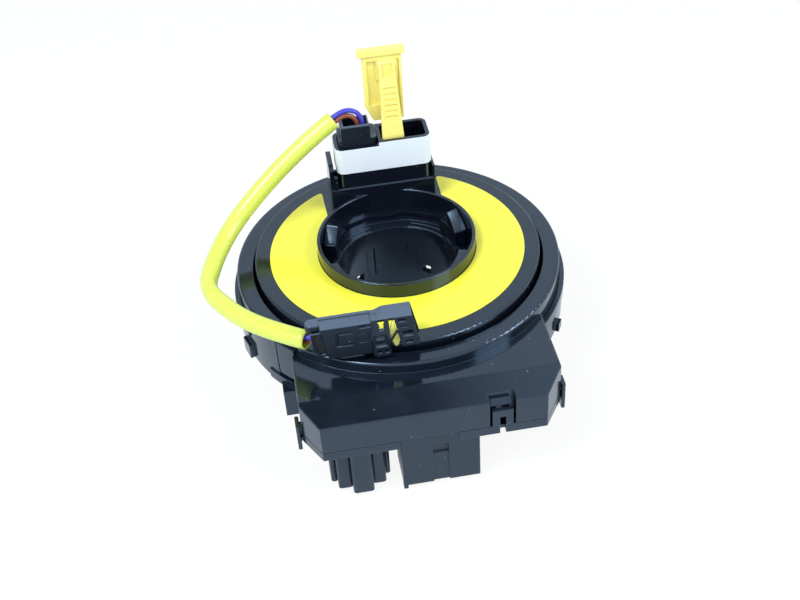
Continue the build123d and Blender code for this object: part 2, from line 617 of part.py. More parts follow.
# Apron under the foot's front, and the slot for the terminal block
rotor += block(-9.2, 9.2, T_Y0, T_Y0 + T_WALL, LEDGE_Z - 1, Z_DISC)
NOSE_Y0 = CABLE_SEAT_Y + 0.5
NOSE_Y1 = NOSE_Y0 + 3.8
NOSE_HALF = 7.8
rotor -= block(
    -NOSE_HALF - 0.2, NOSE_HALF + 0.2, NOSE_Y0 - 0.1, NOSE_Y1 + 0.2, Z_DISC - DISC_T - 1, Z_DISC + 1
)
# Wings beside the tower connector
WING_T = 1.6
WING_Y0 = T_Y0 + 0.1
WING_Y1 = T_Y0 + 11.2
rotor += side_prism(
    [
        (WING_Y0, Z_DISC - 0.5),
        (WING_Y0, WING_TOP - 1.6),
        (WING_Y0 + 0.7, WING_TOP - 0.4),
        (WING_Y0 + 1.9, WING_TOP),
        (WING_Y1 - 1.2, WING_TOP),
        (WING_Y1, WING_TOP - 1.4),
        (WING_Y1, Z_DISC - 0.5),
    ],
    T_X0,
    T_X0 + WING_T,
)
rotor += block(T_X0, C_X0 - 0.15, WING_Y0, WING_Y0 + T_WALL, Z_DISC - 0.5, SHORT_WING_TOP)
rotor += block(C_X1 + 0.15, T_X1 + 0.15, WING_Y0, WING_Y1, Z_DISC - 0.5, SHORT_WING_TOP)
rotor -= block(C_X0 - FIT, C_X1 + FIT, C_Y0 - FIT, T_Y1 + 1, Z_FOOT, Z_TOWER_RIM)
# Ribs on the ledge inside the collar
for a in LEDGE_RIB_ANGLES:
    rotor += Rot(0, 0, a) * block(
        HUB_IN_R + 0.2,
        COLLAR_IN_R + 0.3,
        -LEDGE_RIB_W / 2,
        LEDGE_RIB_W / 2,
        LEDGE_Z - 0.5,
        LEDGE_Z + LEDGE_RIB_H,
    )
upper_rotor = one(rotor)
save(upper_rotor, "upper_rotor")

# Lower rotor: shaft sleeve, snapped into the hub from below
lower = ring(SHAFT_R, SLEEVE_R, SLEEVE_STEP_Z, SLEEVE_TOP)
lower += ring(SHAFT_R + SLEEVE_STEP, SLEEVE_R, SLEEVE_LOW, SLEEVE_STEP_Z + 0.1)
lower += ring(SLEEVE_R - 0.1, FLANGE_R, FLANGE_Z0, FLANGE_Z1)
lower += ring(SLEEVE_R - 0.1, JOURNAL_R, FLANGE_Z0, HUB_Z)
HOOK_IN_R = SHAFT_R + 0.9
for a in HOOK_ANGLES:
    lower += arc_block(HOOK_IN_R, SLEEVE_R, a - HOOK_HALF, a + HOOK_HALF, SLEEVE_TOP - 1, HOOK_TOP)
    lower += arc_block(
        HOOK_IN_R, COLLAR_IN_R - 0.5, a - HOOK_HALF, a + HOOK_HALF, LEDGE_Z + EPS, HOOK_TOP
    )
for a in GROOVE_ANGLES:
    lower -= Rot(0, 0, a) * block(
        SHAFT_R - 2, SHAFT_R + GROOVE_D, -GROOVE_W / 2, GROOVE_W / 2, SLEEVE_STEP_Z - 1, GROOVE_TOP
    )
for a in SLIT_ANGLES:
    lower -= Rot(0, 0, a) * block(
        SHAFT_R - 2, SLEEVE_R + 2, -SLIT_W / 2, SLIT_W / 2, SLEEVE_STEP_Z + 0.4, FLANGE_Z0 - 0.5
    )
lower_rotor = one(lower)
save(lower_rotor, "lower_rotor")

# Warning label on the disc, open at the tower
label = ring(LABEL_IN_R, LABEL_R, Z_DISC, Z_DISC + LABEL_T)
label -= prism(
    [
        (LABEL_GAP_L + 0.5, 0),
        (LABEL_GAP_L - 0.9, DISC_R),
        (LABEL_GAP_R + 0.3, DISC_R),
        (LABEL_GAP_R - 0.2, 0),
    ],
    Z_DISC - 1,
    Z_DISC + 1,
)
label_corners = label.edges().filter_by(Axis.Z).filter_by(lambda e: e.center().Y > 1)
label_ring = one(fillet(label_corners, 0.9))
save(label_ring, "label_ring")

# Tower connector: bay for the lead block on the left, socket on the right
BAY_X1 = BAY_X - C_WALL / 2
SOCKET_X0 = BAY_X + C_WALL / 2
SOCKET_X1 = C_X1 - C_WALL
cavity_y = (C_Y0 + C_WALL, C_Y1 - C_WALL)
tower = rounded(C_X0, C_X1, C_Y0, C_Y1, Z_FOOT + EPS, Z_TOWER_RIM, C_R)
tower -= rounded(C_X0 + C_WALL, BAY_X1, *cavity_y, C_FLOOR, Z_TOWER_RIM + 1, C_R - C_WALL)
tower -= rounded(SOCKET_X0, SOCKET_X1, *cavity_y, C_FLOOR, Z_TOWER_RIM + 1, C_R - C_WALL)
tower -= block(C_X0 - 1, BAY_X1, C_Y0 - 1, C_Y1 + 1, Z_LOW_RIM, Z_TOWER_RIM + 1)
skirt_low = Z_DISC + 3.8
skirt = block(C_X0 + 0.2, C_X1 - 1.5, C_Y0 + 1.3, C_Y1 - 0.8, skirt_low, Z_FOOT + 0.3)
skirt -= block(C_X0 + 1.4, C_X1 - 2.7, C_Y0 + 2.5, C_Y1 - 2.0, skirt_low - 1, Z_FOOT + EPS)
tower += skirt
ROTOR_PINS = [(SOCKET_X1 - dx, C_Y0 + dy) for dx in (5.3, 3.5, 1.7) for dy in (4.0, 7.6)]
tower_connector = one(tower - pin_holes(ROTOR_PINS, Z_DISC + 3, C_FLOOR + 1))
save(tower_connector, "tower_connector")

# Terminal block in the tower's foot, over the gap to the drum
carrier = block(
    T_X0 + T_WALL + 0.3, T_X1 - T_WALL - 0.3, T_Y0 + 1.8, T_Y1 - 1.8, Z_DISC + EPS, skirt_low - 0.2
)
carrier += block(-NOSE_HALF, NOSE_HALF, NOSE_Y0, NOSE_Y1, Z_DISC - DISC_T, Z_DISC + 0.1)
rotor_block = one(carrier)
save(rotor_block, "rotor_block")
rotor_bars = []
half_pin = TERM_W / 2
for x, y in ROTOR_PINS:
    rotor_bars.append(
        block(x - half_pin, x + half_pin, y - half_pin, y + half_pin, skirt_low - 0.15, C_FLOOR + 8)
    )
for i in range(6):
    x = 2.0 * i - 5.0
    rotor_bars.append(
        block(x - 0.5, x + 0.5, NOSE_Y0 + 0.1, NOSE_Y0 + 0.7, CABLE_Z0 + 0.4, Z_DISC - DISC_T - EPS)
    )
rotor_terminals = Compound(children=[bar.solids()[0] for bar in rotor_bars])
save(rotor_terminals, "rotor_terminals")

# Tape round the tower, lower where it passes the lead block
tape_top = Z_TOWER_RIM - 0.1
tape = rounded(
    C_X0 - TAPE_T, C_X1 + TAPE_T, C_Y0 - TAPE_T, C_Y1 + TAPE_T, Z_TOWER_RIM - TAPE_LOW, tape_top, C_R + TAPE_T
)
tape -= rounded(
    C_X0 - 0.02, C_X1 + 0.02, C_Y0 - 0.02, C_Y1 + 0.02, Z_FOOT, Z_TOWER_RIM + 1, C_R + 0.02
)
tape -= block(C_X0 - 1, BAY_X1, C_Y0 - 1, C_Y1 + 1, Z_LOW_RIM - 0.1, Z_TOWER_RIM + 1)
tower_band = one(tape)
save(tower_band, "tower_band")

# Lead block in its bay, hollow at the top where the wires rise
LEAD_X0 = C_X0 + 1.4
LEAD_X1 = BAY_X1 - 0.3
LEAD_Y0 = C_Y0 + 1.4
LEAD_Y1 = C_Y1 - 1.4
HEAD_Y1 = LEAD_Y1 - 1.8
lead = rounded(LEAD_X0, LEAD_X1, LEAD_Y0, LEAD_Y1, C_FLOOR + EPS, Z_LOW_RIM + 2.7, 1.3)
lead += block(LEAD_X0 + 1.0, LEAD_X1 - 2.1, LEAD_Y0, HEAD_Y1, Z_LOW_RIM + 2.1, BLOCK_TOP)
lead = fillet(at_height(lead.edges(), BLOCK_TOP), 0.5)
lead -= block(LEAD_X0 + 2.0, LEAD_X1 - 2.7, LEAD_Y0 + 1.0, HEAD_Y1 - 0.8, POCKET_Z, BLOCK_TOP + 1)
lead_block = one(lead)
save(lead_block, "lead_block")


# Airbag lead: two wires in a folded sleeve
def along(a, b):
    """Vector between two route points."""
    return Vector(*b) - Vector(*a)


def corner_radii(points, fold=None):
    """Arc radius at each corner of a route."""
    radii = []
    for i in range(1, len(points) - 1):
        before = along(points[i - 1], points[i])
        after = along(points[i], points[i + 1])
        half = radians(before.get_angle(after)) / 2
        radius = 0.45 * min(before.length, after.length) / tan(half)
        if i == fold:
            radius = FOLD_RADIUS
        radii.append(round(radius, 2))
    return radii


def cord(points, outer_d, inner_d, fold, name):
    """A tube or wire along a route of straight runs and tangent arcs."""
    radii = corner_radii(points, fold)
    path = FilletPolyline(*points, radius=radii)
    section = Circle(outer_d / 2)
    if inner_d > 0:
        section = section - Circle(inner_d / 2)
    start = Plane(origin=path @ 0, z_dir=path % 0)
    solid = one(sweep(start * section, path=path.wire()))
    ratio = solid.volume / section.area / path.length
    print(name, "length", round(path.length, 1), "volume ratio", round(ratio, 4))
    print(name, "radii", radii)
    save(solid, name)
    return solid


def shifted(points, shift, factor):
    """Route moved sideways as a whole."""
    return [tuple(p[i] + shift[i] * factor for i in range(3)) for p in points]


lead_sleeve = cord(LEAD_ROUTE, LEAD_D, LEAD_D - 2 * LEAD_WALL, FOLD, "lead_sleeve")
BROWN_START = [(-6.5, 28.4, POCKET_Z + 0.03), (-6.5, 28.4, 53.6), (-10.2, 28.6, 56.2)]
BLUE_START = [(-4.7, 28.4, POCKET_Z + 0.03), (-4.7, 28.4, 55.4), (-9.4, 29.0, 58.6)]
BROWN_END = [(P_X0 + 1.6, -44.5, 25.2)]
BLUE_END = [(P_X0 + 1.6, -44.9, 27.4)]
brown_route = BROWN_START + shifted(LEAD_ROUTE, WIRE_SHIFT, 1) + BROWN_END
blue_route = BLUE_START + shifted(LEAD_ROUTE, WIRE_SHIFT, -1) + BLUE_END
wire_brown = cord(brown_route, WIRE_D, 0, FOLD + len(BROWN_START), "wire_brown")
wire_blue = cord(blue_route, WIRE_D, 0, FOLD + len(BLUE_START), "wire_blue")

# Airbag plug body: a leaning left end with the wires' pocket under a hood
plug = front_prism(
    [(P_X0, P_Z1), (P_X0 + P_LEAN, P_Z0), (P_XM, P_Z0), (P_XM, P_Z1)],
    P_Y0,
    P_Y1,
)
plug = fillet(at_height(plug.edges(), P_Z1).filter_by(Axis.X).sort_by(Axis.Y)[0], 0.35)
STRIP_W = 1.95         # raised strip along the back of the top
strip = block(P_X0, P_XM, P_Y1 - STRIP_W, P_Y1, P_Z1 - 1.6, P_Z1 + 0.3)
plug -= block(P_X0 - 1, P_XM + 1, P_Y1 - STRIP_W, P_Y1 + 1, P_Z1 - 1.6, P_Z1 + 1)
plug += fillet(at_height(strip.edges(), P_Z1 + 0.3).filter_by(Axis.X).sort_by(Axis.Y)[-1], 1.2)
HOOD_T = 2.4
HOOD_L = 4.1
hood = block(P_X0 - HOOD_L, P_X0, P_Y0 + 2.2, P_Y1 - 0.2, P_Z1 - HOOD_T, P_Z1 - 0.1)
hood = fillet(hood.edges().filter_by(Axis.Z).sort_by(Axis.X)[:2], 1.6)
hood = fillet(at_height(hood.edges(), P_Z1 - 0.1).filter_by(lambda e: e.center().X < P_X0 - 0.1), 0.9)
plug += hood + block(P_X0 - 0.1, P_X0 + 1.0, P_Y0 + 2.6, P_Y1 - 0.6, P_Z1 - HOOD_T, P_Z1 - 0.6)
plug -= block(P_X0 - 1, P_X0 + 4.6, P_Y0 + 1.2, P_Y1 - 1.0, P_Z0 + 1.7, P_Z0 + 7.5)
# Latch arm outlined by a C-shaped groove, a gate mark and the slot beside it
ARM_X0 = P_X0 + 4.2
ARM_X1 = P_X0 + 9.2
ARM_Z0 = P_Z0 + 4.1
ARM_Z1 = P_Z0 + 9.3
GROOVE = 0.7
arm_frame = block(ARM_X0, ARM_X1, P_Y0 - 1, P_Y0 + GROOVE, ARM_Z0, ARM_Z1)
arm_frame -= block(ARM_X0 + 1.0, ARM_X1 + 1, P_Y0 - 2, P_Y0 + 1, ARM_Z0 + GROOVE, ARM_Z1 - GROOVE)
plug -= arm_frame
gate = Cylinder(1.9, 0.3) - Cylinder(1.6, 1)
plug -= Pos(P_XM - 2.5, P_Y0, P_Z0 + 6.4) * Rot(90, 0, 0) * gate
plug -= block(P_XM - 3.4, P_XM + 1, P_Y0 - 1, P_Y0 + 1.3, P_Z1 - 1.7, P_Z1 - 0.5)
plug -= block(P_X0 + 6.5, P_XM + 1, P_Y0 + 1.6, P_Y1 - 1.4, P_Z0 + 1.2, P_Z1 - 3.0)
plug_body = one(plug)
save(plug_body, "plug_body")

# Plug head: a roof that folds down over the front as a latch frame with a window, the
# leaning contact block at the right and the open bracket below the frame
ROOF_Z = P_Z1 + 1.0
FRAME_X1 = P_XM + 5.3
BLOCK_L = P_XM + 6.8
P_X1 = P_XM + HEAD_L
ROOF_X1 = P_X1 - 2.0
FOLD_Y = P_Y0 + 1.3
FOLD_Z = P_Z1 - 0.5
FRAME_Z = P_Z0 + 6.8
roof = side_prism(
    [
        (P_Y1, P_Z1 - 0.9),
        (P_Y1 - 0.4, ROOF_Z - 0.1),
        (P_Y1 - 2.0, ROOF_Z),
        (FOLD_Y, FOLD_Z),
        (FOLD_Y + 0.3, FOLD_Z - 1.1),
        (P_Y1 - 2.0, ROOF_Z - 1.2),
        (P_Y1 - 1.2, P_Z1 - 0.9),
    ],
    P_XM,
    ROOF_X1,
)
shoulder = [
    (P_XM - 1, P_Z1 - 0.4),
    (P_XM + 1.6, P_Z1 - 0.4),
    (P_XM + 4.2, ROOF_Z + 0.1),
    (P_XM - 1, ROOF_Z + 0.1),
]
roof -= front_prism(shoulder, P_Y0 - 2, P_Y1 + 1)
frame_part = side_prism(
    [(FOLD_Y, FOLD_Z), (P_Y0 - 0.4, FRAME_Z), (P_Y0 + 0.7, FRAME_Z - 0.3), (FOLD_Y + 1.1, FOLD_Z - 0.4)],
    P_XM,
    FRAME_X1,
)
# Window, narrower in the middle
WIN_X0 = P_XM + 2.0
WIN_X1 = P_XM + 4.1
WIN_Z0 = P_Z0 + 7.8
WIN_Z1 = FOLD_Z - 0.2
WIN_MID = (WIN_Z0 + WIN_Z1) / 2 - 0.4
window = [
    (WIN_X0, WIN_Z1),
    (WIN_X1, WIN_Z1),
    (WIN_X1, WIN_MID + 0.8),
    (WIN_X1 - 0.4, WIN_MID),
    (WIN_X1 - 0.4, WIN_Z0),
    (WIN_X0 + 0.2, WIN_Z0),
    (WIN_X0 + 0.1, WIN_MID - 0.5),
    (WIN_X0 + 0.5, WIN_MID),
    (WIN_X0, WIN_MID + 0.9),
]
frame_part -= front_prism(window, P_Y0 - 2, P_Y0 + 4)
BLOCK_LOW = P_Z0 + 1.2
mate = front_prism(
    [(BLOCK_L, FOLD_Z), (BLOCK_L + 1.8, BLOCK_LOW), (P_X1 - 0.3, BLOCK_LOW), (ROOF_X1, FOLD_Z)],
    P_Y0 - 1,
    P_Y1 - 0.4,
)
mate &= side_prism(
    [(P_Y0 - 0.4, BLOCK_LOW), (FOLD_Y - 0.1, FOLD_Z), (P_Y1 - 0.4, FOLD_Z), (P_Y1 - 0.4, BLOCK_LOW)],
    P_XM,
    P_X1 + 1,
)
MATE_HOLES = ((9.15, 9.8, 2.2, 1.1), (9.75, 7.7, 2.4, 0.5), (10.6, 5.3, 3.0, 1.9), (10.85, 2.5, 2.0, 0.95))
for x, z, w, h in MATE_HOLES:
    mate -= block(
        P_XM + x - w / 2, P_XM + x + w / 2, P_Y0 - 1, P_Y0 + 3.4, P_Z0 + z - h / 2, P_Z0 + z + h / 2
    )
wing = [
    (ROOF_X1 - 0.8, ROOF_Z - 0.4),
    (ROOF_X1 + 0.2, ROOF_Z - 0.6),
    (P_X1 + 0.4, BLOCK_LOW),
    (P_X1 - 2.0, BLOCK_LOW),
]
mate += front_prism(wing, P_Y1 - 1.6, P_Y1 - 0.4)
keeper = block(P_XM, P_X1 - 1.0, P_Y0 + 2.8, P_Y1 - 0.4, P_Z0, P_Z0 + 1.7)
# Bracket below the frame, with its openings and a rounded lower edge
BRACKET_Z = P_Z0 - 1.7
bracket = front_prism(
    [
        (P_XM + 0.3, FRAME_Z),
        (P_XM + 0.1, BRACKET_Z + 1),
        (P_XM + 1.2, BRACKET_Z),
        (P_XM + 4.6, BRACKET_Z),
        (P_XM + 5.5, BRACKET_Z + 0.8),
        (P_XM + 4.7, FRAME_Z),
    ],
    P_Y0 - 0.4,
    P_Y0 + 0.6,
)
for x, z, w, h in ((2.4, 5.6, 2.4, 1.3), (2.7, 3.0, 3.4, 2.0), (2.0, 0.2, 1.3, 1.5), (4.1, 0.2, 1.3, 1.5)):
    bracket -= block(
        P_XM + x - w / 2, P_XM + x + w / 2, P_Y0 - 1, P_Y0 + 1, P_Z0 + z - h / 2, P_Z0 + z + h / 2
    )
bracket += block(P_XM + 0.3, P_XM + 5.0, P_Y0 + 0.3, P_Y0 + 3.0, P_Z0, P_Z0 + 1.1)
# Slanting strip across the gap between frame and block
brace = [
    (FRAME_X1 - 0.3, P_Z0 + 3.2),
    (FRAME_X1 + 0.2, P_Z0 + 3.0),
    (BLOCK_L + 1.2, P_Z0 + 7.4),
    (BLOCK_L + 0.7, P_Z0 + 7.6),
]
rail = front_prism(brace, P_Y0 - 0.1, P_Y0 + 0.5)
rail += block(P_XM + 4.0, FRAME_X1 + 0.1, P_Y0 - 0.1, P_Y0 + 0.5, P_Z0 + 2.6, P_Z0 + 3.5)
plug_head = one(roof + frame_part + mate + keeper + bracket + rail)
save(plug_head, "plug_head")

# Yellow lock in the gap of the head: two leaves that follow each other down
LOCK_X = P_XM + 7.1
LOCK_Y = P_Y0 + 1.1
LOCK_T = 0.8
leaves_left = [(-0.7, 10.2), (-1.3, 8.0), (-1.7, 5.8), (-1.3, 3.6), (-0.9, 1.9), (-0.2, 0.4)]
leaves_right = [(0.5, 0.5), (1.2, 2.2), (0.9, 4.4), (0.2, 6.0), (0.0, 7.6), (-0.3, 9.4)]
leaves = leaves_left + leaves_right
lock = front_prism([(LOCK_X + x, P_Z0 + z) for x, z in leaves], LOCK_Y, LOCK_Y + LOCK_T)
lock += block(LOCK_X - 0.4, LOCK_X + 0.5, LOCK_Y, P_Y0 + 2.8 - EPS, P_Z0 + 0.5, P_Z0 + 1.5)
plug_lock = one(lock)
save(plug_lock, "plug_lock")

CONTACT_PITCH = 3.0
contacts = []
for i in range(2):
    z = P_Z0 + 2.4 + CONTACT_PITCH * i
    contacts.append(block(P_XM - 8.0, P_XM - 0.3, P_Y0 + 1.8, P_Y1 - 1.6, z - 1.0, z + 1.0).solids()[0])
plug_contacts = Compound(children=contacts)
save(plug_contacts, "plug_contacts")

# Transit lock pin: back plate, head, sprung grip arm and the blade in the socket
PIN_X0 = SOCKET_X0 - 4.0
PIN_W = 12.5
PIN_X1 = PIN_X0 + PIN_W
ARM_L = SOCKET_X0 + 0.1
ARM_R = ARM_L + 7.3
pin_head = rounded(PIN_X0 - 1.5, PIN_X1 + 1.2, PIN_Y0 - 0.5, PIN_Y1 + 0.4, PIN_TOP - 2.1, PIN_TOP, 0.5)
plate = front_prism(
    [
        (PIN_X0, PIN_TOP - 2),
        (PIN_X0, Z_TOWER_RIM + 10.1),
        (PIN_X0 + 1.8, Z_TOWER_RIM + 6.2),
        (PIN_X0 + 2.5, Z_TOWER_RIM + 5.0),
        (PIN_X1 - 0.2, Z_TOWER_RIM + 5.0),
        (PIN_X1, PIN_TOP - 2),
    ],
    PIN_Y0,
    PIN_Y1,
)
for x0, x1, low in ((PIN_X0 + 1.3, PIN_X0 + 5.0, 10.6), (PIN_X1 - 1.7, PIN_X1 - 0.9, 6.4)):
    plate -= block(x0, x1, PIN_Y0 - 1, PIN_Y0 + 0.7, Z_TOWER_RIM + low, PIN_TOP - 4)
ARM_LOW = PIN_FOOT + 7.3
ARM_TOP = PIN_TOP - 4.2
ARM_Y = C_Y0 + 1.5
ARM_BEND = Z_TOWER_RIM + 0.8
LEAN = 2.8
arm = side_prism(
    [
        (PIN_Y0 + 0.3, ARM_TOP),
        (ARM_Y + LEAN, ARM_TOP - 1.2),
        (ARM_Y, ARM_BEND),
        (ARM_Y, ARM_LOW + 1.0),
        (ARM_Y + 0.6, ARM_LOW),
        (ARM_Y + 1.5, ARM_LOW + 1.0),
        (ARM_Y + 1.5, ARM_BEND),
        (PIN_Y0 + 0.3, ARM_TOP - 6.4),
    ],
    ARM_L,
    ARM_R,
)
near_y = C_Y0 - 2
arm -= front_prism(
    [
        (ARM_L - 0.5, ARM_TOP + 1),
        (ARM_L + 0.9, ARM_TOP - 1),
        (ARM_L + 0.25, ARM_BEND),
        (ARM_L + 0.25, ARM_LOW - 1),
        (ARM_L - 0.5, ARM_LOW - 1),
    ],
    near_y,
    PIN_Y0 + 0.2,
)
arm -= front_prism(
    [
        (ARM_R - 1.4, ARM_TOP + 1),
        (ARM_R + 0.4, ARM_TOP + 1),
        (ARM_R + 0.4, ARM_LOW - 1),
        (ARM_R, ARM_LOW - 1),
        (ARM_R, ARM_BEND),
    ],
    near_y,
    PIN_Y0 + 0.2,
)
# Thumb recess and grip grooves
arm -= block(ARM_L + 1.9, ARM_R - 2.0, near_y, PIN_Y0 - 0.5, ARM_TOP - 5.2, ARM_TOP - 0.8)
GRIP_COUNT = 6
GRIP_PITCH = 1.95
for i in range(GRIP_COUNT):
    z = ARM_BEND + 6.2 + GRIP_PITCH * i
    face_y = ARM_Y + LEAN * (z - ARM_BEND) / (ARM_TOP - 1.2 - ARM_BEND)
    arm -= block(ARM_L + 1.7, ARM_R - 1.4, face_y - 1, face_y + 0.35, z, z + 0.8)
blade = block(ARM_L + 1.1, ARM_R - 0.6, PIN_Y0, PIN_Y1, PIN_FOOT, Z_TOWER_RIM + 5.8)
lock_pin = one(pin_head + plate + arm + blade)
save(lock_pin, "lock_pin")
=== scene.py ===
"""Looks of a steering clock spring: finishes, lead, small fittings, studio and camera."""
import json
import math

import bmesh
import bpy
from mathutils import Matrix, Vector


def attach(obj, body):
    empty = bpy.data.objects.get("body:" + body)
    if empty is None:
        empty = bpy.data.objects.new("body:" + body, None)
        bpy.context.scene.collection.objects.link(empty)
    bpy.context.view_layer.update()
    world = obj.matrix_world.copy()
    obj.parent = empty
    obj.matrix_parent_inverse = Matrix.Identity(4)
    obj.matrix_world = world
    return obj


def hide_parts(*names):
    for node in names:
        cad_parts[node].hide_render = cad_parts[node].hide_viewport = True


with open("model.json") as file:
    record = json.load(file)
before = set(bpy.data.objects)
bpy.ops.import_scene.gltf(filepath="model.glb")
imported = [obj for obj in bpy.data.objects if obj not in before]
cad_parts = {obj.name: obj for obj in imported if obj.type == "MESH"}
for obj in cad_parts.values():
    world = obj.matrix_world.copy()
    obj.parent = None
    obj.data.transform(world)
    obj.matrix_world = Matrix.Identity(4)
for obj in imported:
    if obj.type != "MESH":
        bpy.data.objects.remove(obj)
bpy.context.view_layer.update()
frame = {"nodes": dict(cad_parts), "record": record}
MM = 0.001

# Camera, from the photograph's view: metres, degrees, and millimetres for lens and sensor
CAMERA_AT = (-0.0358, -0.3030, 0.2597)
CAMERA_TURN = (49.402, 3.159, -9.397)
CAMERA_LENS = 54.0
SENSOR_WIDTH = 36.0

# Studio, in metres
LOOK_AT = Vector((0, -0.01, 0.02))
FLOOR_Z = -0.0175
FLOOR_HALF = 1.6
FLOOR_GLOW = 0.90
FLOOR_COLOUR = (0.90, 0.91, 0.92)
DAYLIGHT = (0.86, 0.93, 1.0)
SKY_LEVEL = 0.62

# Lamps: where each is, its size and its watts
KEY_LAMP = ((-0.35, -0.25, 0.65), 0.30, 4.6)
FILL_LAMP = ((0.45, -0.30, 0.45), 0.26, 2.2)

# What shines in the plastic: its colour, the way of the dark patch above, the cosines between
# which that fades and its level, and the ring in which the painted shadow under the part, seen only in
# reflections, fades out into the floor's glow
MIRRORED = (0.86, 0.94, 1.0)
DARK_ABOVE = (-0.28, 0.30, 0.92)
DARK_EDGE = (0.890, 0.925)
MIRRORED_LOW = 0.10
FLOOR_PAINTED_SHADOW_R = (0.040, 0.064)

# Skin of the mouldings: texture scales per metre, where each mark fades, and what it adds
GRAIN_SCALE = 2600.0
CLOUD_SCALE = 85.0
DUST_SCALE = 520.0
HAIR_SCALE = (60.0, 2600.0, 700.0)
HAIR_TURN = (0.3, 0.2, 0.7)
CLOUD_EDGE = (0.40, 0.72)
HAIR_EDGE = (0.70, 0.76)
DUST_EDGE = (0.06, 0.12)
DUST_PICKED = (0.86, 0.88)
CLOUD_MARK = 0.55
HAIR_MARK = 0.5
HAIR_DEPTH = 0.3
MARK_ROUGH = 0.22
GRAIN_ROUGH = 0.08
RELIEF = 0.0002

# Dust, and the painted sheen of the duller plastic: a pale tone on the faces that look up, standing in for
# the light they catch, with the cosines between which it fades
DUST = (0.42, 0.44, 0.47, 1.0)
PAINTED_SHEEN_TONE = (0.105, 0.140, 0.195, 1.0)
PAINTED_SHEEN_EDGE = (0.35, 0.9)

# Seam between the box's roof and its cover, on the box's front half
SEAM_Z = 0.00355
SEAM_HALF = 0.00028
SEAM_FRONT_Y = (-0.036, -0.034)
SEAM_DEPTH = 0.0004

# Airbag lead, in millimetres: the sleeve's route, which of its points is folded, and the wires
SLEEVE_D = 5.8
SLEEVE_WALL = 0.6
WIRE_D = 1.6
WIRE_SHIFT = (0.52, 0.0, -0.79)
SLEEVE_ROUTE = [
    (-14.4, 27.5, 54.8),
    (-22.9, 24.9, 50.1),
    (-32.3, 22.5, 43.6),
    (-42.1, 18.3, 36.6),
    (-51.3, 12.1, 30.1),
    (-58.3, 0.8, 25.9),
    (-61.3, -11.7, 24.9),
    (-53.8, -25.2, 24.9),
    (-43.8, -35.2, 25.1),
    (-33.3, -42.9, 25.9),
]
FOLD_AT = 6
FOLD_REACH = 9.0
FOLD_DEPTH = 1.3
FOLD_BULGE = 0.16
ROUTE_STEPS = 14

# Small fittings, in millimetres, on the rotor's ledge, sleeve end and snap hooks and on the plug
LEDGE_Z = 14.3
SLEEVE_TOP = 15.0
HOOK_TOP = 21.2
RAMP_TOP = 26.0
RAMP_IN_R = 19.95
RAMP_WIDTH = 4.0
RAMP_SINK = 0.2
RAMP_LIP = 0.1
RIB_WIDTH = 0.3
RIB_BEVEL = 0.12
RIB_STEPS = 24
OUTER_RIB_R = 21.8
OUTER_RIB_H = 0.45
INNER_RIB_R = 19.1
INNER_RIB_H = 0.35
PLUG_WEB = [(-14.75, 31.6), (-12.0, 31.6), (-12.0, 33.2), (-13.1, 33.06), (-14.75, 33.06)]
WIRE_GUARD = [(-32.3, 31.2), (-29.2, 31.2), (-27.5, 22.3), (-30.1, 22.1), (-31.9, 24.8)]
# Outline of a dark sheet behind the guard: painted shade standing in for the deep pocket round the wires
WIRE_SHADE_SHEET = [(-32.0, 30.9), (-29.4, 30.9), (-27.9, 22.7), (-29.9, 22.5), (-31.6, 25.0)]
WEB_Y = (-44.9, -42.3)
WEB_BEVEL = 0.08
GUARD_Y = (-47.1, -46.4)
GUARD_FRAME = 0.75
GUARD_BEVEL = 0.12
# Depth of that dark sheet of painted shade
SHADE_SHEET_Y = (-46.5, -46.05)

# Where each rib and ramp starts and ends round the collar, in degrees
OUTER_RIBS = {"left": (107, 137.5), "right": (36, 69)}
INNER_RIBS = {"left": (109, 149), "right": (30, 71)}
HOOK_RAMPS = {"left": (162.5, 152), "right": (9.5, 25)}

# Fittings: how near vertices are welded, in metres, and how sharp an edge is bevelled, in radians
WELD = 0.000005
SHARP = 0.5

# Wires, in millimetres
BROWN_START = [(-6.4, 28.4, 48.43), (-6.4, 28.4, 53.2), (-10.0, 28.4, 55.7)]
BLUE_START = [(-4.7, 28.4, 48.43), (-4.7, 28.4, 54.6), (-9.4, 29.0, 57.3)]
BROWN_END = [(-27.8, -44.5, 25.2)]
BLUE_END = [(-27.8, -44.9, 27.4)]


def link(obj):
    bpy.context.scene.collection.objects.link(obj)
    return obj


def metres(point):
    """A point in millimetres as a point of the frame."""
    return Vector(point) * MM


# Node trees


def add(tree, kind, settings=None, inputs=None):
    """A new node, with its settings and with values or links on its inputs."""
    node = tree.nodes.new(kind)
    for name, value in (settings or {}).items():
        setattr(node, name, value)
    for name, value in (inputs or {}).items():
        if isinstance(value, bpy.types.NodeSocket):
            tree.links.new(value, node.inputs[name])
        else:
            node.inputs[name].default_value = value
    return node


def group(name, inputs, outputs):
    """An empty node group, with number inputs, a vector input and number outputs."""
    tree = bpy.data.node_groups.new(name, "ShaderNodeTree")
    tree.interface.new_socket(name="Vector", in_out="INPUT", socket_type="NodeSocketVector")
    for key, value in inputs.items():
        socket = tree.interface.new_socket(name=key, in_out="INPUT", socket_type="NodeSocketFloat")
        socket.default_value = value
    for key in outputs:
        tree.interface.new_socket(name=key, in_out="OUTPUT", socket_type="NodeSocketFloat")
    return tree, tree.nodes.new("NodeGroupInput"), tree.nodes.new("NodeGroupOutput")


def math_node(tree, operation, a, b=0.0, clamp=False):
    node = add(tree, "ShaderNodeMath", {"operation": operation, "use_clamp": clamp})
    for i, value in enumerate((a, b)):
        if isinstance(value, bpy.types.NodeSocket):
            tree.links.new(value, node.inputs[i])
        else:
            node.inputs[i].default_value = value
    return node.outputs[0]


def spread(tree, value, low, high, to_low, to_high):
    """A value mapped from one range to another, and held inside it."""
    node = add(
        tree,
        "ShaderNodeMapRange",
        {"clamp": True},
        {"Value": value, "From Min": low, "From Max": high, "To Min": to_low, "To Max": to_high},
    )
    return node.outputs["Result"]


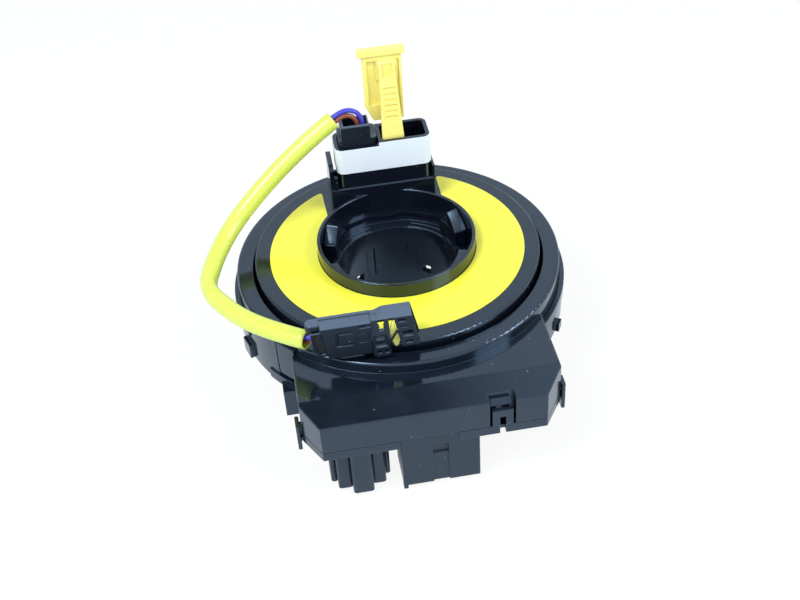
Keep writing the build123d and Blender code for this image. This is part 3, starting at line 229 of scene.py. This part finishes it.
def moulded_skin():
    """Skin of a moulding: fine grain, cloudy handling marks, hairline scratches and dust."""
    tree, given, out = group(
        "moulded_skin",
        {"Grain size": GRAIN_SCALE, "Grain": 0.4, "Marks": 0.5, "Rough": 0.25},
        ["Mark", "Speck", "Roughness", "Height"],
    )
    vector = given.outputs["Vector"]
    grain = add(
        tree,
        "ShaderNodeTexNoise",
        None,
        {"Vector": vector, "Scale": given.outputs["Grain size"], "Detail": 3.0},
    )
    cloud = add(
        tree,
        "ShaderNodeTexNoise",
        None,
        {"Vector": vector, "Scale": CLOUD_SCALE, "Detail": 5.0, "Roughness": 0.6},
    )
    turned = add(
        tree,
        "ShaderNodeMapping",
        None,
        {"Vector": vector, "Rotation": HAIR_TURN, "Scale": HAIR_SCALE},
    )
    hair = add(tree, "ShaderNodeTexNoise", None, {"Vector": turned.outputs[0], "Scale": 1.0, "Detail": 1.0})
    scratch = spread(tree, hair.outputs["Fac"], *HAIR_EDGE, 0.0, 1.0)
    dust = add(
        tree,
        "ShaderNodeTexVoronoi",
        None,
        {"Vector": vector, "Scale": DUST_SCALE, "Randomness": 1.0},
    )
    picked = add(tree, "ShaderNodeSeparateXYZ", None, {"Vector": dust.outputs["Color"]})
    chosen = spread(tree, picked.outputs["X"], *DUST_PICKED, 0.0, 1.0)
    near = spread(tree, dust.outputs["Distance"], *DUST_EDGE, 1.0, 0.0)
    speck = math_node(tree, "MULTIPLY", near, chosen)
    cloudy = spread(tree, cloud.outputs["Fac"], *CLOUD_EDGE, 0.0, 1.0)
    clouds = math_node(tree, "MULTIPLY", cloudy, CLOUD_MARK)
    lines = math_node(tree, "MULTIPLY", scratch, HAIR_MARK)
    marks = math_node(tree, "ADD", clouds, lines)
    mark = math_node(tree, "MULTIPLY", marks, given.outputs["Marks"], clamp=True)
    worn = math_node(tree, "MULTIPLY", mark, MARK_ROUGH)
    rough = math_node(tree, "ADD", given.outputs["Rough"], worn)
    centred = math_node(tree, "SUBTRACT", grain.outputs["Fac"], 0.5)
    fine = math_node(tree, "MULTIPLY", centred, GRAIN_ROUGH)
    rough = math_node(tree, "ADD", rough, fine, clamp=True)
    height = math_node(tree, "MULTIPLY", grain.outputs["Fac"], given.outputs["Grain"])
    height = math_node(tree, "SUBTRACT", height, math_node(tree, "MULTIPLY", scratch, HAIR_DEPTH))
    specks = math_node(tree, "MULTIPLY", speck, given.outputs["Marks"], clamp=True)
    tree.links.new(mark, out.inputs["Mark"])
    tree.links.new(specks, out.inputs["Speck"])
    tree.links.new(rough, out.inputs["Roughness"])
    tree.links.new(height, out.inputs["Height"])
    return tree


SKIN = moulded_skin()


def seam_groove():
    """A shallow groove round the box where its roof meets the cover, as a height."""
    tree, given, out = group("seam_groove", {"Level": SEAM_Z, "Half width": SEAM_HALF}, ["Height"])
    axes = add(tree, "ShaderNodeSeparateXYZ", None, {"Vector": given.outputs["Vector"]})
    above = math_node(tree, "SUBTRACT", axes.outputs["Z"], given.outputs["Level"])
    away = math_node(tree, "ABSOLUTE", above)
    depth = math_node(tree, "DIVIDE", away, given.outputs["Half width"], clamp=True)
    front = spread(tree, axes.outputs["Y"], *SEAM_FRONT_Y, 0.0, 1.0)
    tree.links.new(math_node(tree, "MAXIMUM", depth, front), out.inputs["Height"])
    return tree


SEAM = seam_groove()


def material(name, settings):
    """An empty material with its shader, and the object coordinates in it."""
    made = bpy.data.materials.new(name)
    made.use_nodes = True
    tree = made.node_tree
    tree.nodes.clear()
    shader = add(tree, "ShaderNodeBsdfPrincipled", None, settings)
    add(tree, "ShaderNodeOutputMaterial", None, {"Surface": shader.outputs[0]})
    place = add(tree, "ShaderNodeTexCoord")
    return made, tree, shader, place.outputs["Object"]


def blend(tree, share, first, second):
    """Two colours mixed by a mask."""
    node = add(tree, "ShaderNodeMix", {"data_type": "RGBA"}, {0: share, 6: first, 7: second})
    return node.outputs[2]


def plastic(
    name,
    dark,
    light,
    rough,
    grain,
    marks,
    edge,
    settings=None,
    grain_size=GRAIN_SCALE,
    bump=0.12,
    seam=False,
    painted_sheen=0.0,
):
    """Moulded plastic: two close tones, a skin, rounded edges, and a seam or a painted sheen on up-facing
    faces if given.
    """
    values = {"Specular IOR Level": 0.5}
    values.update(settings or {})
    made, tree, shader, place = material(name, values)
    skin = add(
        tree,
        "ShaderNodeGroup",
        {"node_tree": SKIN},
        {"Vector": place, "Grain size": grain_size, "Grain": grain, "Marks": marks, "Rough": rough},
    )
    tone = blend(tree, skin.outputs["Mark"], (*dark, 1), (*light, 1))
    tone = blend(tree, skin.outputs["Speck"], tone, DUST)
    # Painted sheen: faces that look up are lightened towards a pale tone, standing in for the light that
    # falls on them
    if painted_sheen:
        facing = add(tree, "ShaderNodeNewGeometry")
        axes = add(tree, "ShaderNodeSeparateXYZ", None, {"Vector": facing.outputs["Normal"]})
        painted_sheen_mask = spread(tree, axes.outputs["Z"], *PAINTED_SHEEN_EDGE, 0.0, painted_sheen)
        tone = blend(tree, painted_sheen_mask, tone, PAINTED_SHEEN_TONE)
    tree.links.new(tone, shader.inputs["Base Color"])
    tree.links.new(skin.outputs["Roughness"], shader.inputs["Roughness"])
    base = add(tree, "ShaderNodeBevel", {"samples": 4}, {"Radius": edge})
    if seam:
        groove = add(tree, "ShaderNodeGroup", {"node_tree": SEAM}, {"Vector": place})
        cut = {"Height": groove.outputs[0], "Strength": 1.0, "Distance": SEAM_DEPTH}
        base = add(tree, "ShaderNodeBump", None, {**cut, "Normal": base.outputs[0]})
    relief = add(
        tree,
        "ShaderNodeBump",
        None,
        {"Height": skin.outputs["Height"], "Strength": bump, "Distance": RELIEF, "Normal": base.outputs[0]},
    )
    tree.links.new(relief.outputs[0], shader.inputs["Normal"])
    return made


BLUE_SHEEN = (0.58, 0.77, 1.0, 1.0)

# Each finish: its name, dark tone, light tone, roughness, grain, marks and edge radius in metres
HOUSING = plastic(
    "housing_black", (0.0060, 0.0085, 0.016), (0.018, 0.023, 0.036), 0.10, 0.10, 0.55, 0.0004,
    {"Specular IOR Level": 0.95, "Specular Tint": BLUE_SHEEN}, bump=0.04, seam=True,
)
ROTOR = plastic(
    "rotor_black", (0.0048, 0.0065, 0.0120), (0.015, 0.019, 0.030), 0.11, 0.12, 0.5, 0.0004,
    {"Specular IOR Level": 0.95, "Specular Tint": BLUE_SHEEN}, bump=0.04,
)
CONNECTOR = plastic(
    "connector_black", (0.0070, 0.0095, 0.017), (0.020, 0.025, 0.039), 0.36, 0.6, 0.4, 0.0003,
    {"Specular IOR Level": 0.85, "Specular Tint": BLUE_SHEEN}, bump=0.22,
)
# The plug's plastic carries the painted sheen on its up-facing faces
PLUG = plastic(
    "plug_black", (0.0060, 0.0080, 0.014), (0.016, 0.020, 0.031), 0.38, 0.6, 0.5, 0.0003,
    {"Specular IOR Level": 0.55, "Specular Tint": BLUE_SHEEN}, bump=0.20, painted_sheen=0.75,
)
INSULATOR = plastic("insulator_black", (0.012, 0.013, 0.016), (0.03, 0.03, 0.035), 0.42, 0.6, 0.4, 0.00015)
LABEL = plastic(
    "label_yellow", (0.90, 0.84, 0.050), (0.93, 0.88, 0.085), 0.22, 0.25, 0.35, 0.00006,
    {"Coat Weight": 0.35, "Coat Roughness": 0.12}, grain_size=900.0, bump=0.05,
)
TAPE = plastic(
    "tape_white", (0.86, 0.92, 0.98), (0.80, 0.87, 0.94), 0.42, 0.5, 0.5, 0.0001,
    grain_size=1500.0, bump=0.08,
)
SLEEVE = plastic(
    "sleeve_yellow", (0.70, 0.81, 0.105), (0.77, 0.88, 0.19), 0.26, 0.35, 0.5, 0.0001,
    {"Coat Weight": 0.25, "Coat Roughness": 0.2, "Subsurface Weight": 0.12, "Subsurface Scale": 0.002,
     "Subsurface Radius": (1.0, 0.9, 0.2)}, grain_size=1400.0, bump=0.10,
)
PIN = plastic(
    "pin_yellow", (0.98, 0.84, 0.22), (1.0, 0.91, 0.36), 0.28, 0.35, 0.4, 0.0002,
    {"Subsurface Weight": 0.18, "Subsurface Scale": 0.002, "Subsurface Radius": (1.0, 0.8, 0.2)}, bump=0.08,
)
LOCK = plastic(
    "lock_yellow", (0.96, 0.93, 0.22), (0.98, 0.95, 0.34), 0.32, 0.35, 0.3, 0.00015,
    {"Subsurface Weight": 0.15, "Subsurface Scale": 0.002, "Subsurface Radius": (1.0, 0.8, 0.2)}, bump=0.08,
)
BROWN = plastic("wire_brown", (0.24, 0.060, 0.035), (0.34, 0.10, 0.06), 0.35, 0.3, 0.4, 0.0001)
BLUE = plastic("wire_blue", (0.055, 0.060, 0.50), (0.10, 0.12, 0.62), 0.35, 0.3, 0.4, 0.0001)
FILM = plastic("cable_film", (0.62, 0.63, 0.65), (0.72, 0.73, 0.74), 0.30, 0.3, 0.4, 0.00005)
SLIP = plastic("slip_film", (0.80, 0.80, 0.78), (0.86, 0.86, 0.84), 0.40, 0.3, 0.4, 0.00005)
METAL = plastic(
    "terminal_brass", (0.72, 0.60, 0.36), (0.80, 0.70, 0.46), 0.28, 0.4, 0.5, 0.0001,
    {"Metallic": 1.0}, bump=0.08,
)

FINISH = {
    "housing_black": HOUSING,
    "rotor_black": ROTOR,
    "connector_black": CONNECTOR,
    "label_yellow": LABEL,
    "tape_white": TAPE,
    "sleeve_yellow": SLEEVE,
    "pin_yellow": PIN,
    "lock_yellow": LOCK,
    "wire_brown": BROWN,
    "wire_blue": BLUE,
    "cable_film": FILM,
    "slip_film": SLIP,
    "terminal_brass": METAL,
    "insulator": INSULATOR,
}

# Pieces of a duller black plastic, with a painted sheen, a pale tone standing in for light, on the faces
# that look up
DULLER = {"plug_body": PLUG, "plug_head": PLUG, "lead_block": PLUG}


def dress_nodes():
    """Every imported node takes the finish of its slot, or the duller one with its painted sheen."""
    for row in frame["record"]["subparts"]:
        obj = frame["nodes"][row["node"]]
        finish = DULLER.get(row["node"], FINISH[row["material_slot"]])
        if not obj.material_slots:
            obj.data.materials.append(finish)
        for slot in obj.material_slots:
            slot.material = finish


# Airbag lead


def route_curve(name, points, radius, round_steps):
    """A smooth line on the route's points, thick where a radius is given."""
    curve = bpy.data.curves.new(name, "CURVE")
    curve.dimensions = "3D"
    spline = curve.splines.new("NURBS")
    spline.points.add(len(points) - 1)
    for knot, point in zip(spline.points, points):
        knot.co = (*metres(point), 1.0)
    spline.order_u = 3
    spline.use_endpoint_u = True
    spline.resolution_u = ROUTE_STEPS
    curve.bevel_depth = radius * MM
    curve.bevel_resolution = round_steps
    return bpy.data.objects.new(name, curve)


def centre_line(points):
    """Points read along the smooth line of a route."""
    thin = route_curve("centre", points, 0.0, round_steps=0)
    mesh = bpy.data.meshes.new_from_object(thin)
    line = [v.co.copy() for v in mesh.vertices]
    bpy.data.meshes.remove(mesh)
    bpy.data.objects.remove(thin)
    return line


def shifted(points, shift, factor):
    return [tuple(p[i] + shift[i] * factor for i in range(3)) for p in points]


def sleeve():
    """The yellow sleeve: a thin walled tube, creased where it is folded."""
    line = centre_line(SLEEVE_ROUTE)
    thick = route_curve("lead_sleeve_tube", SLEEVE_ROUTE, SLEEVE_D / 2, round_steps=8)
    mesh = bpy.data.meshes.new_from_object(thick)
    bpy.data.objects.remove(thick)
    before, fold, after = (metres(SLEEVE_ROUTE[FOLD_AT + i]) for i in (-1, 0, 1))
    corner = min(line, key=lambda p: (p - fold).length)
    inward = ((before - fold).normalized() + (after - fold).normalized()).normalized()
    side = (before - fold).cross(after - fold).normalized()
    for vertex in mesh.vertices:
        away = vertex.co - corner
        near = max(0.0, 1.0 - away.length / (FOLD_REACH * MM)) ** 2
        inner = max(0.0, away.dot(inward)) / (SLEEVE_D / 2 * MM)
        vertex.co -= inward * min(inner, 1.0) * near * FOLD_DEPTH * MM
        vertex.co += side * away.dot(side) * near * FOLD_BULGE
    obj = link(bpy.data.objects.new("lead_sleeve_tube", mesh))
    for polygon in mesh.polygons:
        polygon.use_smooth = True
    mesh.materials.append(SLEEVE)
    wall = obj.modifiers.new("wall", "SOLIDIFY")
    wall.thickness = SLEEVE_WALL * MM
    wall.offset = -1.0
    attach(obj, "rotor")
    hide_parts("lead_sleeve")


def wire(name, node, points, finish):
    """One of the two wires, from the lead block through the sleeve to the plug."""
    obj = link(route_curve(name, points, WIRE_D / 2, round_steps=5))
    obj.data.use_fill_caps = True
    obj.data.materials.append(finish)
    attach(obj, "rotor")
    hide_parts(node)


def airbag_lead():
    sleeve()
    brown = BROWN_START + shifted(SLEEVE_ROUTE, WIRE_SHIFT, 1) + BROWN_END
    blue = BLUE_START + shifted(SLEEVE_ROUTE, WIRE_SHIFT, -1) + BLUE_END
    wire("wire_brown_core", "wire_brown", brown, BROWN)
    wire("wire_blue_core", "wire_blue", blue, BLUE)


# Small fittings


def finished(name, bm, finish, bevel=0.0):
    """A fitting from its bmesh: edges bevelled, faces outwards, riding on the rotor."""
    bmesh.ops.remove_doubles(bm, verts=bm.verts, dist=WELD)
    bmesh.ops.recalc_face_normals(bm, faces=bm.faces)
    if bevel:
        sharp = [e for e in bm.edges if len(e.link_faces) == 2 and e.calc_face_angle() > SHARP]
        bmesh.ops.bevel(
            bm,
            geom=sharp,
            offset=bevel * MM,
            segments=2,
            profile=0.5,
            affect="EDGES",
            material=-1,
            clamp_overlap=True,
        )
    mesh = bpy.data.meshes.new(name)
    bm.to_mesh(mesh)
    bm.free()
    mesh.materials.append(finish)
    obj = link(bpy.data.objects.new(name, mesh))
    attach(obj, "rotor")


def upright_plate(outline, y0, y1, frame_width=0.0):
    """A plate on a plane that faces the front, or with a width, only a frame round it."""
    bm = bmesh.new()
    face = bm.faces.new([bm.verts.new(metres((x, y0, z))) for x, z in outline])
    if frame_width:
        face.normal_update()
        bmesh.ops.inset_individual(bm, faces=[face], thickness=frame_width * MM, use_even_offset=True)
        bmesh.ops.delete(bm, geom=[face], context="FACES_ONLY")
    made = bmesh.ops.extrude_face_region(bm, geom=list(bm.faces), use_keep_orig=True)
    moved = [v for v in made["geom"] if isinstance(v, bmesh.types.BMVert)]
    bmesh.ops.translate(bm, verts=moved, vec=(0, (y1 - y0) * MM, 0))
    return bm


def arc_rib(name, radius, width, z0, z1, start, end, finish, rise=0.0):
    """A curved rib inside the collar, whose top may rise from its start to its end."""
    bm = bmesh.new()
    section = [(radius, z0), (radius + width, z0), (radius + width, z1), (radius, z1)]
    corners = [bm.verts.new(metres((r, 0, z))) for r, z in section]
    bm.faces.new(corners)
    bmesh.ops.rotate(bm, verts=corners, cent=(0, 0, 0), matrix=Matrix.Rotation(math.radians(start), 3, "Z"))
    bmesh.ops.spin(
        bm,
        geom=bm.faces[:] + bm.edges[:] + bm.verts[:],
        cent=(0, 0, 0),
        axis=(0, 0, 1),
        angle=math.radians(end - start),
        steps=RIB_STEPS,
        use_duplicate=False,
    )
    loose = [e for e in bm.edges if len(e.link_faces) == 1]
    if loose:
        bmesh.ops.holes_fill(bm, edges=loose, sides=4)
    for vertex in bm.verts:
        if vertex.co.z > (z0 + z1) / 2 * MM:
            turned = math.degrees(math.atan2(vertex.co.y, vertex.co.x)) - start
            vertex.co.z += rise * MM * turned / (end - start)
    finished(name, bm, finish, RIB_BEVEL)


def ledge_ribs():
    """Curved ribs between the snap hooks, two on the ledge and two on the sleeve's end."""
    for side, (start, end) in OUTER_RIBS.items():
        name = "ledge_rib_outer_" + side
        arc_rib(name, OUTER_RIB_R, RIB_WIDTH, LEDGE_Z, LEDGE_Z + OUTER_RIB_H, start, end, PLUG)
    for side, (start, end) in INNER_RIBS.items():
        name = "ledge_rib_inner_" + side
        arc_rib(name, INNER_RIB_R, RIB_WIDTH, SLEEVE_TOP, SLEEVE_TOP + INNER_RIB_H, start, end, PLUG)


def hook_ramps():
    """The sloping backs of the two snap hooks that the photo shows, rising away from the front."""
    low, top = HOOK_TOP - RAMP_SINK, HOOK_TOP + RAMP_LIP
    for side, (start, end) in HOOK_RAMPS.items():
        name = "hook_ramp_" + side
        arc_rib(name, RAMP_IN_R, RAMP_WIDTH, low, top, start, end, ROTOR, RAMP_TOP - top)


def plug_fittings():
    """The web under the shoulder of the plug's head, the guard round its wires, and a dark sheet behind the
    guard that stands in as painted shade for the plug's deep pocket.
    """
    web = upright_plate(PLUG_WEB, *WEB_Y)
    finished("plug_web", web, PLUG, WEB_BEVEL)
    guard = upright_plate(WIRE_GUARD, *GUARD_Y, GUARD_FRAME)
    finished("plug_wire_guard", guard, PLUG, GUARD_BEVEL)
    # A dark sheet of painted shade behind the guard's frame, hiding the wires where the pocket would be in
    # shade
    shade_sheet = upright_plate(WIRE_SHADE_SHEET, *SHADE_SHEET_Y)
    finished("plug_painted_shade_sheet", shade_sheet, INSULATOR)


# Studio


def camera():
    data = bpy.data.cameras.new("photo_camera")
    data.lens = CAMERA_LENS
    data.sensor_width = SENSOR_WIDTH
    obj = link(bpy.data.objects.new("photo_camera", data))
    obj.location = CAMERA_AT
    obj.rotation_euler = [math.radians(a) for a in CAMERA_TURN]
    data.clip_start = 0.01
    bpy.context.scene.camera = obj


def lamp(name, at, size, watts):
    """A soft square lamp that looks at the drum, and shows as a highlight on its edges."""
    data = bpy.data.lights.new(name, "AREA")
    data.shape = "RECTANGLE"
    data.size = size
    data.size_y = size
    data.energy = watts
    data.color = DAYLIGHT
    obj = link(bpy.data.objects.new(name, data))
    obj.location = at
    obj.rotation_euler = (LOOK_AT - Vector(at)).to_track_quat("-Z", "Y").to_euler()


def seen_as_background(tree):
    """A mask for camera, glossy and transmission rays."""
    ray = add(tree, "ShaderNodeLightPath")
    seen = math_node(tree, "MAXIMUM", ray.outputs["Is Camera Ray"], ray.outputs["Is Glossy Ray"])
    return math_node(tree, "MAXIMUM", seen, ray.outputs["Is Transmission Ray"])


def floor():
    bm = bmesh.new()
    bmesh.ops.create_grid(bm, x_segments=1, y_segments=1, size=FLOOR_HALF)
    bmesh.ops.translate(bm, verts=bm.verts, vec=(0, 0, FLOOR_Z))
    mesh = bpy.data.meshes.new("floor")
    bm.to_mesh(mesh)
    bm.free()
    obj = link(bpy.data.objects.new("floor", mesh))
    made = bpy.data.materials.new("pale_floor")
    made.use_nodes = True
    tree = made.node_tree
    tree.nodes.clear()
    matt = add(tree, "ShaderNodeBsdfDiffuse", None, {"Color": (*FLOOR_COLOUR, 1)})
    ray = add(tree, "ShaderNodeLightPath")
    tint = blend(tree, ray.outputs["Is Camera Ray"], (*MIRRORED, 1), (1, 1, 1, 1))
    glow = add(tree, "ShaderNodeEmission", None, {"Color": tint, "Strength": 1.0})
    place = add(tree, "ShaderNodeTexCoord")
    # Painted shadow: under the part the floor's glow is taken away for reflected rays, so reflections see
    # the floor dark there; the camera still sees it white
    away = add(tree, "ShaderNodeVectorMath", {"operation": "LENGTH"}, {0: place.outputs["Object"]})
    clear = spread(tree, away.outputs["Value"], *FLOOR_PAINTED_SHADOW_R, 0.0, 1.0)
    clear = math_node(tree, "MAXIMUM", clear, ray.outputs["Is Camera Ray"])
    bright = math_node(tree, "MULTIPLY", clear, FLOOR_GLOW)
    share = math_node(tree, "MULTIPLY", seen_as_background(tree), bright)
    mixed = add(tree, "ShaderNodeMixShader", None, {0: share, 1: matt.outputs[0], 2: glow.outputs[0]})
    add(tree, "ShaderNodeOutputMaterial", None, {"Surface": mixed.outputs[0]})
    mesh.materials.append(made)


def surroundings():
    """White behind the object, blue daylight on it, and a dark patch above in its reflections."""
    world = bpy.data.worlds.new("studio")
    bpy.context.scene.world = world
    world.use_nodes = True
    tree = world.node_tree
    tree.nodes.clear()
    white = add(tree, "ShaderNodeBackground", None, {"Color": (1, 1, 1, 1), "Strength": 1.0})
    sky = add(tree, "ShaderNodeBackground", None, {"Color": (*DAYLIGHT, 1), "Strength": SKY_LEVEL})
    ray = add(tree, "ShaderNodeLightPath")
    way = add(tree, "ShaderNodeTexCoord")
    dark = tuple(Vector(DARK_ABOVE).normalized())
    ways = {0: way.outputs["Generated"], 1: dark}
    near = add(tree, "ShaderNodeVectorMath", {"operation": "DOT_PRODUCT"}, ways)
    level = spread(tree, near.outputs["Value"], *DARK_EDGE, 1.0, MIRRORED_LOW)
    mirrored = add(tree, "ShaderNodeBackground", None, {"Color": (*MIRRORED, 1), "Strength": level})
    shown = {0: ray.outputs["Is Glossy Ray"], 1: white.outputs[0], 2: mirrored.outputs[0]}
    seen = add(tree, "ShaderNodeMixShader", None, shown)
    either = {0: seen_as_background(tree), 1: sky.outputs[0], 2: seen.outputs[0]}
    mixed = add(tree, "ShaderNodeMixShader", None, either)
    add(tree, "ShaderNodeOutputWorld", None, {"Surface": mixed.outputs[0]})


def studio():
    camera()
    floor()
    surroundings()
    lamp("key", *KEY_LAMP)
    lamp("fill", *FILL_LAMP)
    bpy.context.scene.view_settings.view_transform = "Standard"


studio()
dress_nodes()
airbag_lead()
ledge_ribs()
hook_ramps()
plug_fittings()

bpy.context.view_layer.update()
